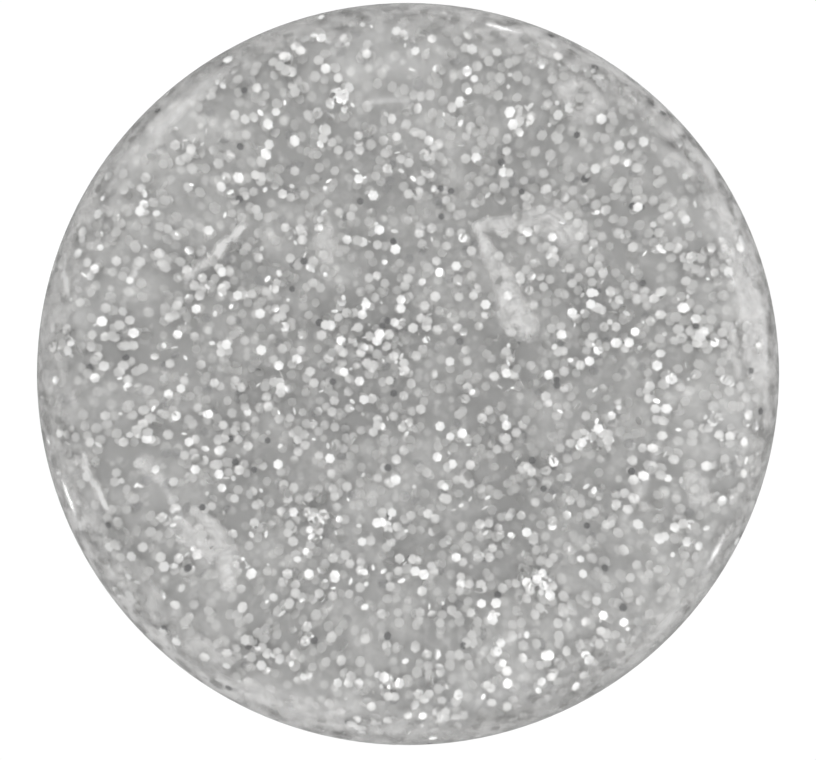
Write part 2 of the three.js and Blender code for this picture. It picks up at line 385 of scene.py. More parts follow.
def pearl_base():
    """The milky lacquer between the flakes, with the flakes that lie too deep in it to be seen sharply, and
    painted light where the mesh stores it.
    """
    material, shader = new_material("pearl_base")
    where = object_coordinates(shader)
    clouds = remap(noise_texture(where, 380, 3.0, 0.55), 0.35, 0.7, -0.06, 0.30, smooth=True)
    grain = remap(noise_texture(where, 2100, 3.0, 0.6, 0.8), 0.3, 0.7, -0.12, 0.16)
    level = combine("ADD", clouds, grain)
    for layer, (cell, radius, weight) in enumerate(SUNKEN_LAYERS):
        level = combine("ADD", level, sunken_discs(where, layer, cell, radius, weight))
    # Painted light: the stored values, painted light at the foot of the side and pearl folds above it,
    # brighten the lacquer.
    level = combine("ADD", level, combine("MULTIPLY", pearl_and_painted_light(shader), PEARL_AND_LIGHT_GAIN))
    colour = colour_ramp(level, ((0.0, (0.440, 0.438, 0.434)), (1.0, (0.97, 0.966, 0.955))))
    set_values(shader, Base_Color=colour, Roughness=0.5, Specular_IOR_Level=0.2)
    return material


def painted_light_sheet():
    """Painted reflections and painted light: a pale sheet, as opaque as its stored value says, a little
    streaky, with faint clouds.
    """
    material, shader = new_material("painted_light_sheet")
    where = object_coordinates(shader)
    streaks = remap(noise_texture(where, 1200, 3.0, 0.6, 1.8), 0.3, 0.7, 0.45, 1.75)
    clouds = remap(noise_texture(where, 300, 4.0, 0.65, 0.6), 0.46, 0.72, 0.0, 0.07, smooth=True)
    painted_light_and_smoke = combine("MAXIMUM", combine("MULTIPLY", pearl_and_painted_light(shader), streaks), clouds)
    set_values(shader, Base_Color=(0.98, 0.975, 0.97), Roughness=0.5, Specular_IOR_Level=0.2)
    set_values(shader, Alpha=combine("MINIMUM", painted_light_and_smoke, 1))
    return material


def flake_material(kind):
    material, shader = new_material(f"flake_{kind.name}")
    set_values(shader, Base_Color=kind.colour, Metallic=kind.metallic, Roughness=kind.roughness)
    set_values(shader, Alpha=kind.opacity)
    return material


def glossy_black():
    material, shader = new_material("overcap_black")
    where = object_coordinates(shader)
    rough = remap(noise_texture(where, 260, 4.0, 0.6, 0.4), 0.3, 0.75, 0.10, 0.22)
    bump(shader, noise_texture(where, 900, 2.0), 0.004 * MM, 0.5)
    set_values(shader, Base_Color=(0.010, 0.010, 0.011), Roughness=rough)
    set_values(shader, Coat_Weight=0.4, Coat_Roughness=0.05)
    return material


def moulded_plastic(name, colour, roughness):
    material, shader = new_material(name)
    grain = noise_texture(object_coordinates(shader), 2600, 3.0)
    rough = remap(grain, 0.3, 0.7, roughness - 0.06, roughness + 0.06)
    bump(shader, grain, 0.01 * MM, 0.4)
    set_values(shader, Base_Color=colour, Roughness=rough)
    return material


def bright_silver(name, stretch, roughness):
    """Polished metal with fine marks drawn out along stretch, a scale for each axis."""
    material, shader = new_material(name)
    scaled = vector_math("MULTIPLY", object_coordinates(shader), stretch)
    marks = noise_texture(scaled, 1.0, 3.0, 0.6)
    rough = remap(marks, 0.3, 0.7, roughness - 0.05, roughness + 0.06)
    bump(shader, marks, 0.003 * MM, 0.5)
    set_values(shader, Base_Color=(0.66, 0.66, 0.67), Metallic=1.0, Roughness=rough)
    return material


def spun_silver():
    """Metal turned on a lathe: its marks are rings about the axis."""
    material, shader = new_material("spun_silver")
    flat = vector_math("MULTIPLY", object_coordinates(shader), (1, 1, 0))
    rings = added(shader, "TexNoise", noise_dimensions="1D")
    set_values(rings, W=vector_math("LENGTH", flat), Scale=9000, Detail=3.0)
    bump(shader, rings.outputs["Fac"], 0.006 * MM, 0.5)
    rough = remap(rings.outputs["Fac"], 0.3, 0.7, 0.16, 0.30)
    set_values(shader, Base_Color=(0.82, 0.82, 0.83), Metallic=1.0, Roughness=rough)
    return material


def mottled(name, scale, dark, light, roughness, depth):
    """A rough material whose colour wanders between dark and light, and that is dented where it is dark."""
    material, shader = new_material(name)
    texture = noise_texture(object_coordinates(shader), scale, 2.0)
    if depth:
        bump(shader, texture, depth * MM, 0.6)
    set_values(shader, Base_Color=colour_ramp(texture, ((0.3, dark), (0.7, light))), Roughness=roughness)
    return material


def soft_foam():
    return mottled("gasket_foam", 5200, (0.72, 0.71, 0.68), (0.86, 0.85, 0.82), 0.75, 0.03)


def nylon():
    return mottled("bristle_nylon", 1800, (0.02, 0.02, 0.022), (0.06, 0.06, 0.065), 0.35, 0)


def place(piece, body, node, material=None):
    """Puts a piece on its body, in place of the CAD node."""
    if material:
        piece.data.materials.append(material)
    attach(piece, body)
    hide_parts(node)


# ---- glass bottle

def glass_outline():
    shoulder_centre = BODY_RADIUS - SHOULDER_REACH
    inner_centre = INNER_RADIUS - INNER_SHOULDER_REACH
    throat = INNER_SIDE_TOP + INNER_SHOULDER_RISE + THROAT_RADIUS
    return [
        (0, 0),
        *line((0.01, 0), (HEEL_START, 0), 6),
        *arc((HEEL_START, HEEL_RADIUS), HEEL_RADIUS, -90, 0, 28),
        *line((BODY_RADIUS, HEEL_RADIUS), (BODY_RADIUS, SIDE_TOP), 8),
        *arc((shoulder_centre, SIDE_TOP), SHOULDER_REACH, 0, 90, 24, SHOULDER_TOP - SIDE_TOP),
        *arc((NECK_RADIUS + NECK_FILLET, SHOULDER_TOP + NECK_FILLET), NECK_FILLET, 270, 180),
        *arc((NECK_RADIUS, BEAD_HEIGHT), BEAD_RADIUS, -90, 90),
        *line((NECK_RADIUS, BEAD_HEIGHT + BEAD_RADIUS), (NECK_RADIUS, GLASS_TOP - LIP_RADIUS), 64),
        *arc((NECK_RADIUS - LIP_RADIUS, GLASS_TOP - LIP_RADIUS), LIP_RADIUS, 0, 90, 8),
        *arc((BORE_RADIUS + LIP_RADIUS, GLASS_TOP - LIP_RADIUS), LIP_RADIUS, 90, 180, 8),
        *arc((BORE_RADIUS + THROAT_RADIUS, throat), THROAT_RADIUS, 180, 270),
        *arc((inner_centre, INNER_SIDE_TOP), INNER_SHOULDER_REACH, 90, 0, 24, INNER_SHOULDER_RISE),
        *line((INNER_RADIUS, INNER_SIDE_TOP), (INNER_RADIUS, INNER_HEEL_TOP), 8),
        *arc((INNER_RADIUS - INNER_HEEL_RADIUS, INNER_HEEL_TOP), INNER_HEEL_RADIUS, 0, -90, 20),
        (0, FLOOR),
    ]


def neck_thread(radius, height, angle):
    """Stands the thread on the outside of the neck."""
    if abs(radius - NECK_RADIUS) > 1e-6 or not BEAD_HEIGHT + BEAD_RADIUS < height < GLASS_TOP - LIP_RADIUS:
        return radius
    up = ridge_height(height, angle, NECK_THREAD_START, NECK_THREAD_TURNS, 0.6, 0.2)
    return radius + (THREAD_RADIUS - NECK_RADIUS) * up


def make_glass():
    glass = turned("glass_body", glass_outline(), neck_thread)
    place(glass, "bottle", "glass_bottle", clear_glass())


make_glass()

# ---- polish

# The lacquer wets the glass, so its surface lies a hair inside the glass, with no film of air between.
WETTING = 0.02
SURFACE_RISE = 0.7
SURFACE_REACH = 1.6

# The inside of the base, measured along its outline from the axis: flat floor, rounded heel, side.
FLOOR_RUN = INNER_RADIUS - INNER_HEEL_RADIUS
HEEL_RUN = INNER_HEEL_RADIUS * TURN / 4
BASE_RUN = FLOOR_RUN + HEEL_RUN
SIDE_RUN = FILL_LEVEL - INNER_HEEL_TOP

# The rounded heel of the glass is a lens: it squeezes the inside of the heel and the foot of the side into
# the outer ring of the view from below. HEEL_VIEW is the run that fits into that ring, and HEEL_SQUEEZE says
# how much harder it is squeezed towards the edge.
HEEL_VIEW = 5.73
HEEL_SQUEEZE = 1.48


def seen_radius(run):
    """How far from the axis a place on the inside of the base appears from below."""
    if run < HEEL_START:
        return run
    share = min(1.0, (run - HEEL_START) / HEEL_VIEW)
    return HEEL_START + HEEL_RADIUS * (1 - (1 - share) ** HEEL_SQUEEZE)


def run_seen_at(radius):
    """The place on the inside of the base that appears this far from the axis."""
    if radius < HEEL_START:
        return radius
    share = min(1.0, (radius - HEEL_START) / HEEL_RADIUS)
    return HEEL_START + HEEL_VIEW * (1 - (1 - share) ** (1 / HEEL_SQUEEZE))


# Painted reflections: pale streaks and patches painted into the lacquer in place of light mirrored off it.
# Each is a strength and a path of (x, y, half width), as it appears from below.
PAINTED_REFLECTIONS = (
    (0.72, ((2.7, -5.9, 0.12), (3.5, -4.4, 0.32), (4.0, -3.2, 0.48), (4.5, -2.1, 0.60))),
    (0.54, ((2.7, -5.8, 0.15), (4.2, -6.1, 0.28), (4.9, -6.2, 0.40), (6.1, -5.9, 0.60), (6.4, -5.6, 0.55))),
    (0.25, ((4.9, -4.8, 0.10), (4.9, -3.7, 0.12))),
    (1.20, ((-6.6, -6.0, 0.06), (-7.2, -5.3, 0.18), (-7.8, -4.6, 0.12))),
    (0.60, ((-8.0, -4.5, 0.10), (-8.9, -3.8, 0.16))),
    (1.10, ((-13.6, -4.6, 0.08), (-13.4, -3.0, 0.14))),
    (1.60, ((-12.8, 3.0, 0.07), (-12.4, 3.9, 0.12), (-11.9, 5.2, 0.05))),
    (0.60, ((-13.5, 3.1, 0.06), (-13.5, 4.2, 0.11))),
    (0.62, ((-8.6, 5.5, 0.14), (-7.8, 6.3, 0.30), (-7.3, 7.2, 0.42), (-7.2, 8.4, 0.22))),
    (0.34, ((-9.4, 6.0, 0.22), (-8.7, 6.6, 0.30), (-8.0, 7.4, 0.30))),
    (0.30, ((-10.6, 3.5, 0.25), (-10.0, 4.2, 0.22))),
    (0.35, ((-13.0, 5.2, 0.12), (-12.5, 6.8, 0.16), (-11.2, 8.4, 0.12))),
    (0.25, ((-12.2, 7.9, 0.14), (-10.6, 9.9, 0.16), (-8.6, 11.3, 0.12))),
    (0.50, ((6.5, -11.3, 0.55), (7.1, -10.8, 0.65))),
    (0.35, ((-3.4, -5.6, 0.30), (-3.3, -4.6, 0.30))),
    (0.35, ((11.3, 4.2, 0.30), (11.6, 5.0, 0.35))),
    (0.26, ((12.1, -6.9, 0.12), (12.9, -4.8, 0.22), (13.2, -3.4, 0.24))),
    (0.40, ((13.0, -3.6, 0.14), (13.3, -1.8, 0.24), (13.8, 0.2, 0.34))),
    (0.50, ((13.8, -4.4, 0.12), (14.1, -3.2, 0.25), (14.1, -1.4, 0.12))),
    (0.42, ((12.7, -1.8, 0.12), (13.0, 0.0, 0.16))),
    (0.30, ((7.0, 12.2, 0.20), (9.2, 10.9, 0.25), (10.8, 9.2, 0.20))),
    (0.25, ((-9.9, -9.6, 0.25), (-7.2, -12.0, 0.25))),
)
# How far the edges of the painted reflections wander
REFLECTION_WANDER = 0.20


def painted_reflection_strength(spots):
    """The strength of the painted reflections at an array of (x, y) spots."""
    strongest = np.zeros(len(spots))
    for strength, path in PAINTED_REFLECTIONS:
        for (x0, y0, w0), (x1, y1, w1) in zip(path, path[1:]):
            start, run = np.array((x0, y0)), np.array((x1 - x0, y1 - y0))
            share = np.clip((spots - start) @ run / (run @ run), 0, 1)
            away = np.linalg.norm(spots - start - share[:, None] * run, axis=1)
            width = w0 + (w1 - w0) * share
            edge = np.clip(away / width - 0.5, 0, 1)
            strongest = np.maximum(strongest, strength * (1 - edge * edge * (3 - 2 * edge)))
    return strongest


def seen_spot(point, run):
    """Where a point of the base appears from below, a little displaced so that edges wander."""
    flat = Vector((point.x, point.y, 0))
    spot = flat.normalized() * seen_radius(run)
    wander = noise.noise_vector(spot * 0.9) + 0.6 * noise.noise_vector(spot * 2.6)
    return spot + wander * REFLECTION_WANDER


def polish_outline():
    """The outline of the lacquer, with its surface drawn up at the glass."""
    radius, low, heel = INNER_RADIUS + WETTING, FLOOR - WETTING, INNER_HEEL_RADIUS
    edge = FILL_LEVEL + SURFACE_RISE
    meniscus = [
        (radius - SURFACE_REACH * share, FILL_LEVEL + SURFACE_RISE * (1 - share) ** 3)
        for share in (0.15, 0.3, 0.5, 0.75, 1.0)
    ]
    return [
        (0, low),
        *line((0.05, low), (radius - heel, low), 110),
        *arc((radius - heel, low + heel), heel, -90, 0, 40),
        *line((radius, low + heel), (radius, low + heel + 4), 24),
        *line((radius, low + heel + 4), (radius, edge), 60),
        *meniscus,
        *line((radius - SURFACE_REACH, FILL_LEVEL), (0.05, FILL_LEVEL), 12),
        (0, FILL_LEVEL),
    ]


def run_of(vertex):
    """How far along the inside of the base, from the axis, a vertex of the lacquer lies."""
    radius, height = math.hypot(vertex.x, vertex.y) / MM, vertex.z / MM
    above = height - INNER_HEEL_TOP
    if above > 0:
        return BASE_RUN + above
    if radius < FLOOR_RUN:
        return radius
    return FLOOR_RUN + INNER_HEEL_RADIUS * math.atan2(radius - FLOOR_RUN, -above)


# Painted light: the foot of the side is painted a little paler, and the pearl gathers in folds above it.
FOOT_PAINTED_LIGHT = 0.16
FOLD_HAZE = 0.25


def folds(vertex):
    """Soft folds in the lacquer up the side, drawn out along the height."""
    spot = Vector((vertex.x * 0.35, vertex.y * 0.35, vertex.z * 0.09)) / MM
    return FOLD_HAZE * smoothstep(0.1, 0.6, noise.noise(spot))


def store_pearl_and_light(piece, values):
    """Keeps how dense the pearl is, and how strong the painted light is, at each vertex, for the materials.
    """
    piece.data.attributes.new("pearl_and_painted_light", "FLOAT", "POINT").data.foreach_set("value", values)


def make_polish():
    polish = turned("polish_body", polish_outline(), segments=300)
    lightening = []
    for vertex in polish.data.vertices:
        rise = run_of(vertex.co) - BASE_RUN
        # Painted light at the foot of the side, and pearl folds above it
        foot = FOOT_PAINTED_LIGHT * smoothstep(-1.5, 0.5, rise) * smoothstep(9, 4, rise)
        lightening.append(foot + smoothstep(0.5, 2.5, rise) * folds(vertex.co))
    store_pearl_and_light(polish, lightening)
    place(polish, "bottle", "polish", pearl_base())


make_polish()

# ---- veils and glitter

# Places where bright flakes have drifted together: (x, y, spread), as they appear from below.
DRIFTS = (
    (-2.7, -11.1, 0.7), (7.4, 2.5, 0.6), (-3.6, 5.9, 1.0), (-0.6, 12.2, 0.5),
    (-1.7, 13.9, 0.6), (-13.5, -1.2, 0.7), (11.6, -1.5, 0.8), (5.2, 8.2, 0.9),
)


def inner_face(run, angle):
    """The point and the outward normal on the inner face of the glass, at a run along its outline."""
    if run < FLOOR_RUN:
        radius, height, tilt = run, FLOOR, -TURN / 4
    elif run < BASE_RUN:
        tilt = (run - FLOOR_RUN) / INNER_HEEL_RADIUS - TURN / 4
        radius = FLOOR_RUN + INNER_HEEL_RADIUS * math.cos(tilt)
        height = INNER_HEEL_TOP + INNER_HEEL_RADIUS * math.sin(tilt)
    else:
        radius, tilt = INNER_RADIUS, 0.0
        height = INNER_HEEL_TOP + run - BASE_RUN
    out, up = Vector((*polar(1, angle), 0)), Vector((0, 0, 1))
    return out * radius + up * height, out * math.cos(tilt) + up * math.sin(tilt)


# The painted reflections lie on a sheet in front of the deeper flakes, from the axis to a little way up the
# side.
VEIL_DEPTH = 0.30
VEIL_END = BASE_RUN + 2.5
VEIL_RINGS, VEIL_SEGMENTS = 130, 380
# Painted light pales the edge of the view from below, from this distance off the axis: the sheet is painted
# lighter at the heel. There is more of it on two opposite sides.
HEEL_PAINTED_LIGHT = 0.66
HEEL_PAINTED_LIGHT_START = 12.5
HEEL_PAINTED_LIGHT_SIDES = 0.7
HEEL_PAINTED_LIGHT_AZIMUTH = math.radians(142)


def painted_heel_light(point, run):
    """The painted light at a point: patchy, stronger towards the edge of the view, and thin up the side."""
    share = max(0.0, seen_radius(run) - HEEL_PAINTED_LIGHT_START) / (BODY_RADIUS - HEEL_PAINTED_LIGHT_START)
    patchy = max(0.0, 1 + 1.5 * noise.noise(point * 1.6))
    around = math.atan2(point.y, point.x) - HEEL_PAINTED_LIGHT_AZIMUTH
    sided = 1 + HEEL_PAINTED_LIGHT_SIDES * math.cos(2 * around)
    return HEEL_PAINTED_LIGHT * share ** 2 * patchy * sided * smoothstep(VEIL_END - 0.1, BASE_RUN + 1.0, run)


def paint_light_layer():
    """A sheet among the flakes, painted pale where the painted reflections lie, and with painted light at
    the heel.
    """
    vertices, spots, lightening, faces = [], [], [], []
    for i in range(VEIL_RINGS + 1):
        run = VEIL_END * (i + 0.01) / VEIL_RINGS
        for k in range(VEIL_SEGMENTS):
            point, normal = inner_face(run, TURN * k / VEIL_SEGMENTS)
            vertices.append(point + normal * VEIL_DEPTH)
            spots.append(seen_spot(point, run)[:2])
            lightening.append(painted_heel_light(point, run))
    for i in range(VEIL_RINGS):
        faces += strip(i * VEIL_SEGMENTS, (i + 1) * VEIL_SEGMENTS, VEIL_SEGMENTS)
    veils = mesh_object("painted_light_layer", vertices, faces, outwards=False)
    # Painted light: the stored values are the painted reflections and the painted light at the heel.
    store_pearl_and_light(veils, np.maximum(painted_reflection_strength(np.array(spots)), lightening))
    place(veils, "bottle", "polish", painted_light_sheet())


# The waves that gather the flakes: (strength, waves in a millimetre)
WAVES = ((0.7, 0.33), (1.0, 0.8), (0.6, 1.7))


def crowding(point, run, angle):
    """How thickly the flakes lie round a point, from 0 to 1: they gather in small drifts."""
    x, y = polar(seen_radius(run), angle)
    for drift_x, drift_y, spread in DRIFTS:
        if run < BASE_RUN + 1 and math.hypot(x - drift_x, y - drift_y) < spread:
            return 1.0
    return smoothstep(-0.4, 0.6, sum(height * noise.noise(point * pitch) for height, pitch in WAVES))


# A flake's points are the middle and the corners of its front, and then those of its back.
FLAKE_FACES = [(0, 1 + k, 1 + (k + 1) % 6) for k in range(6)]
FLAKE_FACES += [(7, 8 + (k + 1) % 6, 8 + k) for k in range(6)]
FLAKE_FACES += [(1 + k, 8 + k, 8 + (k + 1) % 6, 1 + (k + 1) % 6) for k in range(6)]


def flake_points(centre, normal, spin, width, slim, bend, dish):
    """The fourteen points of a flake: a thin hexagonal plate, a little bent and dished, in 1/mm. A chip is
    narrower across, by slim."""
    side = normal.orthogonal().normalized()
    up = normal.cross(side)
    radius = width / math.sqrt(3)
    points = []
    for half in (FLAKE_THICKNESS / 2, -FLAKE_THICKNESS / 2):
        points.append(centre + normal * half)
        for k in range(6):
            across, along = radius * slim * math.cos(TURN * k / 6), radius * math.sin(TURN * k / 6)
            lift = bend * across ** 2 + dish * (across ** 2 + along ** 2)
            turn_x = across * math.cos(spin) - along * math.sin(spin)
            turn_y = across * math.sin(spin) + along * math.cos(spin)
            points.append(centre + side * turn_x + up * turn_y + normal * (half + lift))
    return points


def leaned(normal, rng, spread):
    """The normal, leaned over by a random angle of about spread degrees."""
    lean, around = math.radians(abs(rng.gauss(0, spread))), rng.random() * TURN
    side = normal.orthogonal().normalized()
    across = side * math.cos(around) + normal.cross(side) * math.sin(around)
    return normal * math.cos(lean) + across * math.sin(lean)


class Glitter:
    """A cloud of flakes that becomes one mesh, with a material for each kind."""

    def __init__(self, seed):
        self.rng = random.Random(seed)
        self.vertices, self.faces, self.numbers = [], [], []

    def add(self, centre, normal, number):
        """Adds a flake of a kind, facing about along the normal."""
        rng, kind = self.rng, FLAKE_KINDS[number]
        width = FLAKE_WIDTH * rng.uniform(*kind.size)
        first = len(self.vertices)
        spin, slim = rng.random() * TURN, rng.uniform(kind.slim, 1)
        bend, dish = rng.gauss(0, CURL_SPREAD), rng.gauss(0, CURL_SPREAD)
        self.vertices += flake_points(centre, leaned(normal, rng, kind.lean), spin, width, slim, bend, dish)
        self.faces += [tuple(first + k for k in face) for face in FLAKE_FACES]
        self.numbers += [number] * len(FLAKE_FACES)

    def mesh(self, name, materials):
        flakes = mesh_object(name, self.vertices, self.faces, outwards=False)
        for material in materials:
            flakes.data.materials.append(material)
        flakes.data.polygons.foreach_set("material_index", self.numbers)
        flakes.data.set_sharp_from_angle(angle=math.radians(45))
        return flakes


# share: of all the flakes. depths: from the lacquer, in mm. lean: its spread, in degrees. size: of a whole
# flake. drifting: how much they gather in drifts. slim: the least width to length.
Kind = namedtuple(
    "Kind", "name share depths lean size drifting colour roughness metallic opacity slim", defaults=(1, 1, 1)
)
WHOLE = (0.90, 1.04)
PAINTED_GLINT_WHITE = (0.99, 0.99, 0.985)
DULL = (0.76, 0.758, 0.75)
# The colours paint light and shade on one silver glitter: glint, edgewise and chip are near white, a painted
# glint, and dusk and shaded are dark grey, painted shade.
FLAKE_KINDS = (
    Kind("glint", 0.038, (0.36, 0.52), 9, (0.94, 1.04), 0.8, PAINTED_GLINT_WHITE, 0.28),
    Kind("silver", 0.165, (0.26, 0.46), 14, WHOLE, 0.8, (0.70, 0.698, 0.69), 0.30),
    Kind("edgewise", 0.085, (0.22, 0.50), 50, (0.85, 1.0), 0.7, (0.97, 0.97, 0.965), 0.28),
    Kind("chip", 0.200, (0.20, 0.54), 30, (0.30, 0.85), 0.7, PAINTED_GLINT_WHITE, 0.28, slim=0.2),
    Kind("veiled", 0.165, (0.16, 0.36), 14, WHOLE, 0.6, (0.72, 0.718, 0.71), 0.32, 0.8, 0.85),
    Kind("deep", 0.150, (0.10, 0.24), 15, WHOLE, 0.4, DULL, 0.40, 0.5, 0.60),
    Kind("faint", 0.110, (0.06, 0.18), 18, WHOLE, 0.2, DULL, 0.45, 0.3, 0.40),
    Kind("lost", 0.040, (0.03, 0.12), 18, (0.90, 1.10), 0.0, DULL, 0.50, 0.1, 0.25),
    Kind("dusk", 0.036, (0.03, 0.14), 22, (0.90, 1.10), 0.0, (0.30, 0.30, 0.302), 0.50, 0.2, 0.22),
    Kind("shaded", 0.013, (0.26, 0.46), 8, (0.62, 0.80), 0.3, (0.16, 0.16, 0.162), 0.40, 0.6, 0.80),
)
# How bent and how dished the flakes are, in 1/mm
CURL_SPREAD = 0.50
BASE_FLAKES = 5100
SIDE_FLAKES = 7400
SIDE_START = BASE_RUN + 2
# Flakes heaped up at a drift of spread 1, how soon they thin out, and their kinds by number
HEAP = 26
HEAP_FALLOFF = 0.6
HEAP_KINDS = (0, 1, 1, 2, 2, 3, 3, 3)
# Flakes that float on the lacquer, how high above it, how far from the axis, and their kinds
FLOATING_FLAKES = 600
FLOATING_HEIGHT = 0.03
FLOATING_REACH = INNER_RADIUS - 0.8
FLOATING_KINDS = (0, 1, 1, 4, 4, 5)


def strew(glitter, count, low_run, high_run):
    """Strews flakes over the inner face of the glass, between two runs along its outline."""
    rng = glitter.rng
    numbers, shares = range(len(FLAKE_KINDS)), [kind.share for kind in FLAKE_KINDS]
    strewn = 0
    while strewn < count:
        run, angle = rng.uniform(low_run, high_run), rng.random() * TURN
        point, normal = inner_face(run, angle)
        number = rng.choices(numbers, shares)[0]
        kind = FLAKE_KINDS[number]
        chance = 1 + kind.drifting * (crowding(point, run, angle) - 1)
        if rng.random() > chance * math.hypot(point.x, point.y) / INNER_RADIUS:
            continue
        glitter.add(point + normal * rng.uniform(*kind.depths), normal, number)
        strewn += 1


def heap_up(glitter):
    """More flakes on the drifts, tumbled together."""
    rng = glitter.rng
    for x, y, spread in DRIFTS:
        for _ in range(round(HEAP * spread)):
            away = min(spread * abs(rng.gauss(0, HEAP_FALLOFF)), 2 * spread)
            across, along = polar(away, rng.random() * TURN)
            spot = Vector((x + across, y + along))
            point, normal = inner_face(run_seen_at(spot.length), math.atan2(spot.y, spot.x))
            number = rng.choice(HEAP_KINDS)
            glitter.add(point + normal * rng.uniform(*FLAKE_KINDS[number].depths), normal, number)


def set_afloat(glitter, count):
    """Flakes that float on top of the lacquer, higher near the glass, where it is drawn up."""
    rng = glitter.rng
    for _ in range(count):
        radius = FLOATING_REACH * math.sqrt(rng.uniform(0.03, 1))
        x, y = polar(radius, rng.random() * TURN)
        drawn_up = 0.5 * smoothstep(INNER_RADIUS - SURFACE_REACH, INNER_RADIUS, radius)
        centre = Vector((x, y, FILL_LEVEL + FLOATING_HEIGHT + drawn_up))
        glitter.add(centre, Vector((0, 0, 1)), rng.choice(FLOATING_KINDS))


def make_glitter():
    """The clouds of flakes. Each has a seed, what fills it, and how much."""
    materials = [flake_material(kind) for kind in FLAKE_KINDS]
    for name, seed, scatter, amounts in (
        ("glitter_base", 11, strew, (BASE_FLAKES, 0, SIDE_START)),
        ("glitter_side", 23, strew, (SIDE_FLAKES, SIDE_START, BASE_RUN + SIDE_RUN)),
        ("glitter_surface", 31, set_afloat, (FLOATING_FLAKES,)),
        ("glitter_heaps", 59, heap_up, ()),
    ):
        glitter = Glitter(seed)
        scatter(glitter, *amounts)
        place(glitter.mesh(name, materials), "bottle", "polish")


paint_light_layer()
make_glitter()

# ---- gasket, stem and bristles

STEM_TOP_RADIUS = 2.15
STEM_TIP_RADIUS = 1.85
GASKET_BORE = STEM_TOP_RADIUS + 0.15
PLUG_RADIUS = 2.1
SNAP_HEIGHT = 56.8
SNAP_RADIUS = 0.55
FLANGE_BOTTOM = GASKET_TOP + 0.05
FLANGE_TOP = FLANGE_BOTTOM + 1
PICK_UP_HEIGHT = 45.27
PICK_UP_RADIUS = 0.45
TUFT_HOLE_RADIUS = 1.4
TUFT_HOLE_TOP = STEM_TIP + 4.6


def make_gasket():
    outline = [
        (GASKET_BORE, GASKET_BOTTOM),
        (GASKET_RADIUS, GASKET_BOTTOM),
        (GASKET_RADIUS, GASKET_TOP),
        (GASKET_BORE, GASKET_TOP),
        (GASKET_BORE, GASKET_BOTTOM),
    ]
    gasket = turned("gasket_ring", softened(outline, 0.15))
    place(gasket, "gasket", "sealing_gasket", soft_foam())


def make_stem(plastic):
    outline = [
        (0, TUFT_HOLE_TOP),
        (TUFT_HOLE_RADIUS, TUFT_HOLE_TOP),
        (TUFT_HOLE_RADIUS, STEM_TIP),
        (STEM_TIP_RADIUS - 0.15, STEM_TIP),
        (STEM_TIP_RADIUS, STEM_TIP + 0.3),
        (STEM_TOP_RADIUS, PICK_UP_HEIGHT - PICK_UP_RADIUS),
        *arc((STEM_TOP_RADIUS, PICK_UP_HEIGHT), PICK_UP_RADIUS, -90, 90),
        (STEM_TOP_RADIUS, FLANGE_BOTTOM),
        (FLANGE_RADIUS, FLANGE_BOTTOM),
        (FLANGE_RADIUS, FLANGE_TOP),
        (PLUG_RADIUS, FLANGE_TOP),
        *arc((PLUG_RADIUS, SNAP_HEIGHT), SNAP_RADIUS, -90, 90),
        (PLUG_RADIUS, PLUG_TOP - 0.5),
        (PLUG_RADIUS - 0.5, PLUG_TOP),
        (0, PLUG_TOP),
    ]
    stem = turned("stem_body", softened(outline, 0.12), segments=96)
    place(stem, "brush", "brush_stem", plastic)


def make_anchor():
    """The CAD strip itself, with its edges broken."""
    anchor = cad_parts["bristle_anchor"]
    anchor.data.materials.clear()
    anchor.data.materials.append(bright_silver("anchor_steel", (300, 300, 3000), 0.3))
    break_edges(anchor, 0.04)


FILAMENTS = 280
FILAMENT_RADIUS = 0.05
FILAMENT_STEPS = 10
FILAMENT_SIDES = 5
# Each filament stands this far round from the last, which spreads them evenly.
GOLDEN_ANGLE = 2.39996
ROOT_RADIUS = 1.05
TUFT_HALF_THICKNESS = 1.4
FAN_HEIGHT = 3.0


def filament_point(u, v, share):
    """A point on a filament. u and v say where it stands in the tuft, within a circle of radius 1."""
    start = STEM_TIP + 3.0
    end = BRISTLE_TIP + FAN_HEIGHT * (1 - math.sqrt(max(0.0, 1 - u * u - 0.3 * v * v)))
    height = start + (end - start) * share
    spread = min(1.0, max(0.0, (STEM_TIP - height) / (STEM_TIP - BRISTLE_TIP - FAN_HEIGHT)))
    half_width = ROOT_RADIUS + (BRISTLE_HALF_WIDTH - 0.1 - ROOT_RADIUS) * spread
    half_depth = ROOT_RADIUS + (TUFT_HALF_THICKNESS - 0.1 - ROOT_RADIUS) * spread
    return Vector((u * half_width, v * half_depth, height))


def make_bristles():
    """A flat tuft of tapered filaments, cut round at the end, that bends at the tip of the stem."""
    rng = random.Random(47)
    sides = FILAMENT_SIDES
    vertices, faces = [], []
    for i in range(FILAMENTS):
        u, v = polar(math.sqrt((i + 0.5) / FILAMENTS), i * GOLDEN_ANGLE)
        sway = Vector((rng.gauss(0, 0.10), rng.gauss(0, 0.08), 0))
        first = len(vertices)
        for step in range(FILAMENT_STEPS + 1):
            share = step / FILAMENT_STEPS
            centre = filament_point(u, v, share) + sway * share ** 2
            radius = FILAMENT_RADIUS * (1 - 0.65 * max(0.0, share - 0.6) / 0.4)
            for k in range(sides):
                vertices.append(centre + Vector((*polar(radius, TURN * k / sides), 0)))
        for step in range(FILAMENT_STEPS):
            faces += strip(first + step * sides, first + (step + 1) * sides, sides)
        faces.append(tuple(first + k for k in range(sides)))
        faces.append(tuple(first + FILAMENT_STEPS * sides + k for k in range(sides)))
    tuft = mesh_object("tuft_filaments", vertices, faces)
    tuft.data.materials.append(nylon())
    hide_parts("bristle_tuft")
    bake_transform(tuft)


def make_brush():
    plastic = moulded_plastic("stem_black", (0.020, 0.020, 0.022), 0.34)
    make_stem(plastic)
    make_anchor()
    make_bristles()


make_gasket()
make_brush()

# ---- cap

